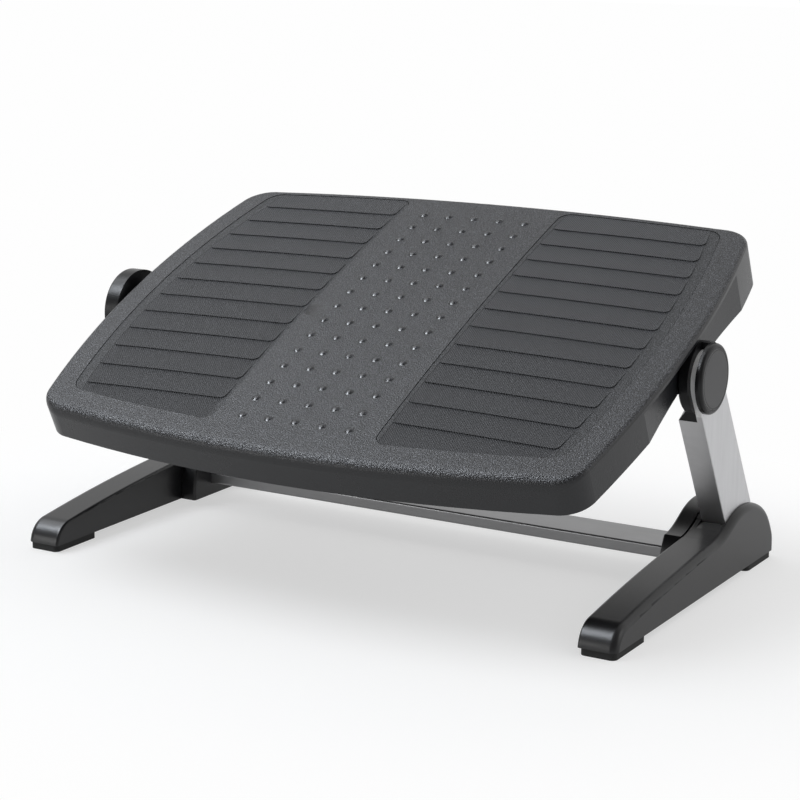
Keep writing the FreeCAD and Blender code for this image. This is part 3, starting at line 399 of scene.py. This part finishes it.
def grip_rubber(name, colour, margin_colour, roughness):
    """Grip inlay: knurled strips with painted light and shade on the knurl, and grained margins."""
    material, tree, shader = fresh_material(name)
    vector = object_vector(tree)
    deck = place_group(tree, GROUPS["deck"], vector)
    across = math_step(tree, "ABSOLUTE", deck.outputs["Across"])
    along = deck.outputs["Along"]
    turns = 2 * math.pi / KNURL_PITCH
    wave_x = math_step(tree, "SINE", math_step(tree, "MULTIPLY", across, turns))
    wave_y = math_step(tree, "SINE", math_step(tree, "MULTIPLY", along, turns))
    knurl = math_step(tree, "MULTIPLY", wave_x, wave_y)
    field = knurled_field(tree, across, along)
    grain = place_group(tree, GROUPS["grain"], vector, Pebble_Size=DECK_PEBBLE)
    margin = colour_mix(tree, grain.outputs["Fleck"], toned(margin_colour, 0.4),
                        toned(margin_colour, 2.0))
    # Painted light and shade of the knurl: its peaks coloured lighter and its hollows darker, on the
    # same wave as its bump
    shade = math_step(tree, "MULTIPLY", math_step(tree, "MULTIPLY_ADD", knurl, 0.5, 0.5), field)
    knurled = colour_mix(tree, shade, toned(colour, 0.08), toned(colour, 2.6))
    base = colour_mix(tree, field, margin, knurled)
    feed(tree, shader, Base_Color=base, Roughness=uneven_gloss(tree, vector, roughness, 0.08))
    plain = math_step(tree, "SUBTRACT", 1.0, field)
    pebbles = math_step(tree, "MULTIPLY", grain.outputs["Height"], plain)
    height = math_step(tree, "ADD", math_step(tree, "MULTIPLY", knurl, field), pebbles)
    add_bump(tree, shader, height, 0.0004)
    return material


def satin_metal(name, colour, roughness, stretch, metallic=1.0, painted_rim_highlight=False):
    """Satin metal with fine drawn lines, and where asked a painted highlight: the rim round the
    pivot coloured flat near-white.
    """
    material, tree, shader = fresh_material(name)
    vector = object_vector(tree)
    place = put(tree, "ShaderNodeMapping")
    place.inputs["Scale"].default_value = stretch
    tree.links.new(vector, place.inputs["Vector"])
    lines = put(tree, "ShaderNodeTexNoise", in_Scale=60.0, in_Detail=5.0, in_Roughness=0.6)
    tree.links.new(place.outputs[0], lines.inputs["Vector"])
    base = colour_mix(tree, lines.outputs[0], toned(colour, 0.9), toned(colour, 1.08))
    shader.inputs["Metallic"].default_value = metallic
    if painted_rim_highlight:
        cut = rim_highlight_mask(tree, vector)
        # Painted highlight: the lug's metal rim turned into flat near-white non-metal
        base = colour_mix(tree, cut, base, RIM_HIGHLIGHT_WHITE)
        feed(tree, shader, Metallic=math_step(tree, "MULTIPLY_ADD", cut, -metallic, metallic))
    feed(tree, shader, Base_Color=base, Roughness=uneven_gloss(tree, vector, roughness, 0.1))
    add_bump(tree, shader, lines.outputs[0], DRAWN_DEPTH, strength=0.5)
    return material


def rim_highlight_mask(tree, vector):
    """One on the narrow rim of an arm's lug, where the highlight is painted, nought elsewhere."""
    lug = ramp_between(tree, from_axle(tree, vector), *LUG_REACH)
    split = put(tree, "ShaderNodeSeparateXYZ")
    tree.links.new(object_normal(tree), split.inputs[0])
    edge = ramp_between(tree, math_step(tree, "ABSOLUTE", split.outputs["X"]), *RIM_FACING)
    return math_step(tree, "MULTIPLY", lug, edge)


# Settings

class FootrestSettings(bpy.types.PropertyGroup):
    """Colours that a user would change."""

    deck_colour: bpy.props.FloatVectorProperty(
        name="Deck colour", description="Charcoal of the deck", subtype="COLOR",
        size=3, min=0, max=1, default=(0.041, 0.0428, 0.0495))
    grip_colour: bpy.props.FloatVectorProperty(
        name="Grip colour", description="Colour of the knurled strips", subtype="COLOR",
        size=3, min=0, max=1, default=(0.035, 0.0362, 0.0405))
    black_colour: bpy.props.FloatVectorProperty(
        name="Black plastic", description="Colour of feet, arm heads and knobs", subtype="COLOR",
        size=3, min=0, max=1, default=(0.009, 0.009, 0.010))
    arm_colour: bpy.props.FloatVectorProperty(
        name="Arm metal", description="Colour of the arms", subtype="COLOR",
        size=3, min=0, max=1, default=(0.68, 0.68, 0.69))


class StageSettings(bpy.types.PropertyGroup):
    """Camera and light."""

    azimuth: bpy.props.FloatProperty(
        name="Camera azimuth", description="Angle round the footrest from its front",
        subtype="ANGLE", default=math.radians(31.0))
    elevation: bpy.props.FloatProperty(
        name="Camera elevation", description="Angle above the floor",
        subtype="ANGLE", default=math.radians(13.2))
    distance: bpy.props.FloatProperty(
        name="Camera distance", description="Distance to the point looked at",
        unit="LENGTH", default=1.55)
    lens: bpy.props.FloatProperty(
        name="Lens", description="Focal length in millimetres", default=99.0)
    look_at: bpy.props.FloatVectorProperty(
        name="Look at", description="Point at the middle of the view",
        subtype="TRANSLATION", size=3, default=(0.0206, -0.01478, 0.1189))
    key_power: bpy.props.FloatProperty(
        name="Key light", description="Power of the large light above",
        unit="POWER", default=24.0)
    sheen_power: bpy.props.FloatProperty(
        name="Sheen", description="Power of the light that only shows as gloss",
        unit="POWER", default=34.0)
    card_power: bpy.props.FloatProperty(
        name="Card", description="Power of the low card that brightens rims",
        unit="POWER", default=9.0)
    side_power: bpy.props.FloatProperty(
        name="Side light", description="Power of the light at the right",
        unit="POWER", default=5.0)


def settings():
    """The footrest's settings."""
    return bpy.context.scene.footrest


# Operators

class FOOTREST_OT_deck(bpy.types.Operator):
    """Finish the deck shell with its moulded grain"""

    bl_idname = "footrest.deck"
    bl_label = "Deck"

    def execute(self, context):
        colour = settings().deck_colour
        wearing("deck_shell", deck_plastic("deck_charcoal", colour, roughness=0.42, bump=0.0003))
        return {"FINISHED"}


class FOOTREST_OT_grips(bpy.types.Operator):
    """Finish the two grip inlays"""

    bl_idname = "footrest.grips"
    bl_label = "Grip inlays"

    def execute(self, context):
        colour = settings().grip_colour
        rubber = grip_rubber("grip_inlay", colour, toned(colour, 1.25), roughness=0.55)
        for side in SIDES:
            wearing(side + "_grip_pad", rubber)
        return {"FINISHED"}


class FOOTREST_OT_feet(bpy.types.Operator):
    """Finish feet, hub covers and rubber pads"""

    bl_idname = "footrest.feet"
    bl_label = "Feet"

    def execute(self, context):
        black = glossy_black("foot_black", roughness=0.30)
        rubber = grained_plastic("pad_rubber", (0.008, 0.008, 0.008), roughness=0.7,
                                 pebble=0.0009, bump=0.0001)
        for side in SIDES:
            wearing(side + "_foot", black)
            wearing(side + "_hub_cover", black)
            wearing(side + "_front_rubber_pad", rubber)
            wearing(side + "_rear_rubber_pad", rubber)
        return {"FINISHED"}


class FOOTREST_OT_arms(bpy.types.Operator):
    """Finish arms, their heads and their inner plugs"""

    bl_idname = "footrest.arms"
    bl_label = "Arms"

    def execute(self, context):
        metal = satin_metal("arm_silver", settings().arm_colour, roughness=0.42,
                            stretch=(1.0, 4.0, 0.4), painted_rim_highlight=True)
        black = glossy_black("arm_head_black", roughness=0.30, specular=0.25)
        plug = grained_plastic("plug_plastic", (0.02, 0.02, 0.02), roughness=0.5,
                               pebble=0.001, bump=0.00005)
        for side in SIDES:
            wearing(side + "_arm", metal)
            wearing(side + "_arm_head", black)
            wearing(side + "_arm_plug", plug)
        wearing("crossbar_plugs", plug)
        return {"FINISHED"}


class FOOTREST_OT_knobs(bpy.types.Operator):
    """Finish the hand knob, the pivot cap and their discs"""

    bl_idname = "footrest.knobs"
    bl_label = "Knobs"

    def execute(self, context):
        black = grained_plastic("knob_black", settings().black_colour, roughness=0.28,
                                pebble=0.0006, bump=0.00003, spread=0.06, fleck=0.12, specular=0.3)
        grey = (0.030, 0.030, 0.032)
        for name in ("right_pivot_cap", "left_hand_knob", "left_knob_collar"):
            wearing(name, black)
        for node, name, radius in (("right_cap_disc", "right_disc_grey", 0.0197),
                                   ("left_knob_disc", "left_disc_grey", 0.0235)):
            wearing(node, disc_plastic(name, grey, roughness=0.36, line_radius=radius))
        return {"FINISHED"}


class FOOTREST_OT_crossbar(bpy.types.Operator):
    """Finish the crossbar"""

    bl_idname = "footrest.crossbar"
    bl_label = "Crossbar"

    def execute(self, context):
        wearing("crossbar", satin_metal("bar_grey", (0.30, 0.30, 0.305), roughness=0.36,
                                        stretch=(0.3, 4.0, 4.0), metallic=0.8))
        return {"FINISHED"}


class FOOTREST_OT_fittings(bpy.types.Operator):
    """Finish screws, bolts, washers, nuts and brackets"""

    bl_idname = "footrest.fittings"
    bl_label = "Fittings"

    def execute(self, context):
        steel = satin_metal("fastener_steel", (0.5, 0.5, 0.5), roughness=0.3,
                            stretch=(1.0, 1.0, 1.0))
        painted = grained_plastic("bracket_black", (0.02, 0.02, 0.02), roughness=0.4,
                                  pebble=0.0008, bump=0.00004)
        nylon = grained_plastic("washer_nylon", (0.5, 0.5, 0.47), roughness=0.5,
                                pebble=0.001, bump=0.00003)
        for name in NODES:
            if any(word in name for word in ("screw", "bolt", "nut", "steel_washer")):
                wearing(name, steel)
            elif "friction_washer" in name:
                wearing(name, nylon)
            elif "bracket" in name:
                wearing(name, painted)
        return {"FINISHED"}


class FOOTREST_OT_stage(bpy.types.Operator):
    """Set the floor, the soft lights and the camera"""

    bl_idname = "footrest.stage"
    bl_label = "Stage"

    def execute(self, context):
        stage = context.scene.footrest_stage
        context.scene.view_settings.view_transform = "Standard"
        make_floor()
        make_world()
        make_lights(stage)
        make_camera(stage)
        return {"FINISHED"}


def make_lights(stage):
    """Two soft lights, and two that only show as gloss."""
    make_light("top_softbox", place=(-1.05, -0.25, 2.0), target=(0.0, 0.0, 0.15), size=(1.7, 1.3),
               power=stage.key_power, colour=(0.93, 0.96, 1.0))
    sheen = make_light("front_sheen", place=(-1.05, -0.95, 1.65), target=(0.0, -0.1, 0.12),
                       size=(1.1, 0.6), power=stage.sheen_power, colour=(0.88, 0.93, 1.0))
    card = make_light("front_left_card", place=(-1.25, -2.1, 0.45), target=(0.0, 0.0, 0.15),
                      size=(0.9, 0.6), power=stage.card_power, colour=PLAIN_WHITE)
    make_light("right_softbox", place=(2.2, 0.5, 0.9), target=(0.2, 0.0, 0.1), size=(1.2, 1.4),
               power=stage.side_power, colour=PLAIN_WHITE)
    for light in (sheen, card):
        light.visible_diffuse = False


def make_floor():
    """Pale floor that keeps the footrest's shadow and fades to white far away."""
    bpy.ops.mesh.primitive_plane_add(size=FLOOR_SIZE, location=(0.0, 0.0, 0.0))
    floor = bpy.context.object
    floor.name = "studio_floor"
    material, tree, shader = fresh_material("studio_white")
    tree.nodes.remove(shader)
    diffuse = put(tree, "ShaderNodeBsdfDiffuse")
    diffuse.inputs["Color"].default_value = (FLOOR_ALBEDO,) * 3 + (1.0,)
    glow = put(tree, "ShaderNodeEmission", in_Strength=1.0)
    path = put(tree, "ShaderNodeLightPath")
    lift = math_step(tree, "MULTIPLY_ADD", path.outputs["Is Camera Ray"],
                     FLOOR_SEEN_LIFT - FLOOR_LIFT, FLOOR_LIFT)
    lift = math_step(tree, "MULTIPLY_ADD", path.outputs["Is Glossy Ray"],
                     FLOOR_SHINE - FLOOR_LIFT, lift)
    tree.links.new(lift, glow.inputs["Strength"])
    near = put(tree, "ShaderNodeAddShader")
    tree.links.new(diffuse.outputs[0], near.inputs[0])
    tree.links.new(glow.outputs[0], near.inputs[1])
    spread = put(tree, "ShaderNodeVectorMath", operation="LENGTH")
    squeeze = put(tree, "ShaderNodeMapping", vector_type="POINT")
    squeeze.inputs["Location"].default_value = FLOOR_POOL_SHIFT
    squeeze.inputs["Scale"].default_value = FLOOR_POOL_SCALE
    tree.links.new(object_vector(tree), squeeze.inputs["Vector"])
    tree.links.new(squeeze.outputs[0], spread.inputs[0])
    fade = ramp_between(tree, spread.outputs["Value"], *FLOOR_FADE)
    fade = math_step(tree, "MULTIPLY", fade, path.outputs["Is Camera Ray"])
    far = put(tree, "ShaderNodeEmission", in_Strength=FLOOR_WHITE)
    mix = put(tree, "ShaderNodeMixShader")
    tree.links.new(fade, mix.inputs[0])
    tree.links.new(near.outputs[0], mix.inputs[1])
    tree.links.new(far.outputs[0], mix.inputs[2])
    tree.links.new(mix.outputs[0], tree.nodes["Material Output"].inputs["Surface"])
    floor.data.materials.append(material)


def make_world():
    """White surround for the camera, for the object bright behind and dim in front."""
    world = bpy.data.worlds.new("studio_world")
    bpy.context.scene.world = world
    world.use_nodes = True
    tree = world.node_tree
    background = tree.nodes["Background"]
    background.inputs["Color"].default_value = (*PLAIN_WHITE, 1.0)
    path = put(tree, "ShaderNodeLightPath")
    seen = math_step(tree, "MAXIMUM", path.outputs["Is Camera Ray"],
                     path.outputs["Is Transmission Ray"])
    way = put(tree, "ShaderNodeSeparateXYZ")
    tree.links.new(put(tree, "ShaderNodeTexCoord").outputs["Generated"], way.inputs[0])
    soft = ramp_between(tree, way.outputs["Y"], *SURROUND_TURN, SURROUND_FRONT, SURROUND_BACK)
    rest = math_step(tree, "MULTIPLY", soft, math_step(tree, "SUBTRACT", 1.0, seen))
    tree.links.new(math_step(tree, "ADD", seen, rest), background.inputs["Strength"])


def make_light(name, place, target, size, power, colour):
    """Rectangular soft light aimed at a point."""
    bpy.ops.object.light_add(type="AREA", location=place)
    light = bpy.context.object
    light.name = name
    light.data.shape = "RECTANGLE"
    light.data.size, light.data.size_y = size
    light.data.energy = power
    light.data.color = colour
    aim = Vector(target) - Vector(place)
    light.rotation_euler = aim.to_track_quat("-Z", "Y").to_euler()
    return light


def make_camera(stage):
    """Camera at the photograph's viewing angle."""
    a, e = stage.azimuth, stage.elevation
    back = Vector((math.sin(a) * math.cos(e), -math.cos(a) * math.cos(e), math.sin(e)))
    bpy.ops.object.camera_add(location=Vector(stage.look_at) + back * stage.distance)
    camera = bpy.context.object
    camera.name = "product_camera"
    camera.rotation_euler = (-back).to_track_quat("-Z", "Y").to_euler()
    camera.data.sensor_width = 36.0
    camera.data.lens = stage.lens
    bpy.context.scene.camera = camera


class FOOTREST_PT_panel(bpy.types.Panel):
    """Sizes, colours and steps of the footrest"""

    bl_label = "Footrest"
    bl_idname = "FOOTREST_PT_panel"
    bl_space_type = "VIEW_3D"
    bl_region_type = "UI"
    bl_category = "Footrest"

    def draw(self, context):
        layout = self.layout
        for group in (context.scene.footrest, context.scene.footrest_stage):
            for name in group.__annotations__:
                layout.prop(group, name)
        for operator in OPERATORS:
            layout.operator(operator.bl_idname)


OPERATORS = (
    FOOTREST_OT_deck,
    FOOTREST_OT_grips,
    FOOTREST_OT_feet,
    FOOTREST_OT_arms,
    FOOTREST_OT_knobs,
    FOOTREST_OT_crossbar,
    FOOTREST_OT_fittings,
    FOOTREST_OT_stage,
)
CLASSES = (FootrestSettings, StageSettings, *OPERATORS, FOOTREST_PT_panel)


def register():
    """Add the classes and the scene's settings."""
    for cls in CLASSES:
        bpy.utils.register_class(cls)
    bpy.types.Scene.footrest = bpy.props.PointerProperty(type=FootrestSettings)
    bpy.types.Scene.footrest_stage = bpy.props.PointerProperty(type=StageSettings)


def unregister():
    """Remove them again."""
    del bpy.types.Scene.footrest_stage
    del bpy.types.Scene.footrest
    for cls in reversed(CLASSES):
        bpy.utils.unregister_class(cls)


def main():
    """Dress the pieces in order and set the stage."""
    register()
    GROUPS.update(build_groups())
    bpy.ops.object.select_all(action="DESELECT")
    for operator in OPERATORS:
        group, name = operator.bl_idname.split(".")
        getattr(getattr(bpy.ops, group), name)()


if __name__ == "__main__":
    main()
